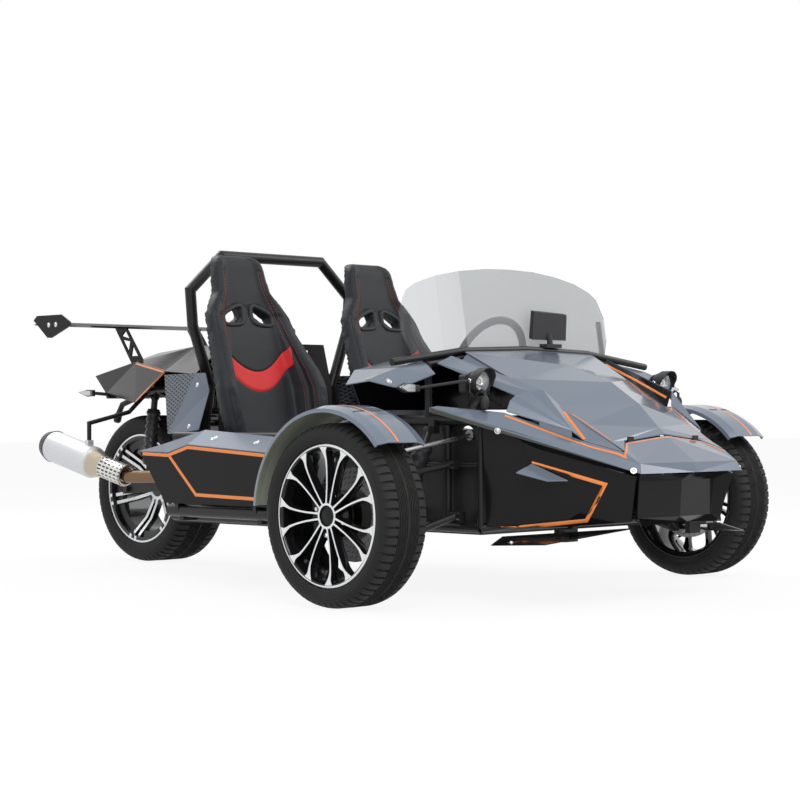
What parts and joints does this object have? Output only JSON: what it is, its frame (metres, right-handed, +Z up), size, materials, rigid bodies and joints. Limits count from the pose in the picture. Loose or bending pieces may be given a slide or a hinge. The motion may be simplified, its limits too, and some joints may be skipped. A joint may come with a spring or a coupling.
{
  "type": "three wheeled roadster",
  "caption": "Open three-wheeled roadster with a faceted nose, clear wrap-round screen, bucket seats, side pods, open front suspension, roll hoop and rear wing.",
  "frame": {"origin": "on the ground below the middle of the car's length and width", "axes": "+Z up, -Y towards the nose, +X towards the car's left side"},
  "size_m": [1.79, 2.845, 1.12],
  "materials": {
    "paint": "gloss",
    "gloss_black": "gloss",
    "frame_black": "satin",
    "satin_black": "satin",
    "tyre": "matte",
    "wheel": "machined faces on black",
    "steel": "machined",
    "caliper": "satin",
    "bright": "satin",
    "clear": "clear",
    "lens": "clear",
    "seat": "padded",
    "grip": "satin",
    "engine": "rough"
  },
  "bodies": {
    "chassis": {"coil_overs": "frame_black", "cowl": "paint", "dash_panel": "satin_black", "display": "satin_black", "engine": "engine", "exhaust": "bright", "floor_pan": "frame_black", "headlamp_bodies": "satin_black", "hood": "paint", "hood_fairings": "paint", "hood_vents": "gloss_black", "lamp_lenses": "lens", "lower_frame": "frame_black", "lower_nose": "gloss_black", "nose_blades": "paint", "nose_cover": "paint", "pedals": "satin_black", "pod_caps": "paint", "pod_sides": "gloss_black", "rear_lamps": "satin_black", "rear_shocks": "frame_black", "rear_wing": "satin_black", "roll_hoop": "frame_black", "screen_tube": "frame_black", "seats": "seat", "sills": "frame_black", "steering_rack": "frame_black", "swingarm": "frame_black", "tail_body": "paint", "tail_grilles": "satin_black", "tub_panels": "satin_black", "upper_frame": "frame_black", "windscreen": "clear", "wishbones": "frame_black"},
    "steer_left": {"knuckle_left": "frame_black", "caliper_left": "caliper", "fender_left": "paint"},
    "steer_right": {"knuckle_right": "frame_black", "caliper_right": "caliper", "fender_right": "paint"},
    "wheel_front_left": {"tyre_front_left": "tyre", "rim_front_left": "wheel", "hub_disc_left": "steel"},
    "wheel_front_right": {"tyre_front_right": "tyre", "rim_front_right": "wheel", "hub_disc_right": "steel"},
    "wheel_rear": {"tyre_rear": "tyre", "rim_rear": "wheel"},
    "steering_wheel": {"steering_wheel": "grip", "steering_shaft": "steel"},
    "rack_bar": {"tie_rods": "bright"}
  },
  "joints": [
    {"name": "steer_left", "type": "hinge", "parent": "chassis", "child": "steer_left", "pos_m": [0.695, -0.7975, 0.26], "axis": [0, 0, 1], "range_deg": [-25, 25]},
    {"name": "steer_right", "type": "hinge", "parent": "chassis", "child": "steer_right", "pos_m": [-0.695, -0.7975, 0.26], "axis": [0, 0, 1], "range_deg": [-26, 26]},
    {"name": "rack_slide", "type": "slide", "parent": "chassis", "child": "rack_bar", "axis": [1, 0, 0], "range_m": [-0.043, 0.043]},
    {"name": "steering_wheel_turn", "type": "hinge", "parent": "chassis", "child": "steering_wheel", "pos_m": [0.306, -0.3175, 0.715], "axis": [0, 0.932, 0.3624], "range_deg": [-112, 112]},
    {"name": "spin_front_left", "type": "hinge", "parent": "steer_left", "child": "wheel_front_left", "pos_m": [0.8065, -0.7975, 0.262], "axis": [1, 0, 0], "continuous": true},
    {"name": "spin_front_right", "type": "hinge", "parent": "steer_right", "child": "wheel_front_right", "pos_m": [-0.8065, -0.7975, 0.262], "axis": [1, 0, 0], "continuous": true},
    {"name": "spin_rear", "type": "hinge", "parent": "chassis", "child": "wheel_rear", "pos_m": [0, 1.0995, 0.274], "axis": [1, 0, 0], "continuous": true}
  ],
  "couplings": [
    {"joint": "steer_right", "follows": "steer_left", "ratio": 1},
    {"joint": "rack_slide", "follows": "steer_left", "m_per_rad": 0.095},
    {"joint": "steering_wheel_turn", "follows": "steer_left", "ratio": 4.4}
  ]
}
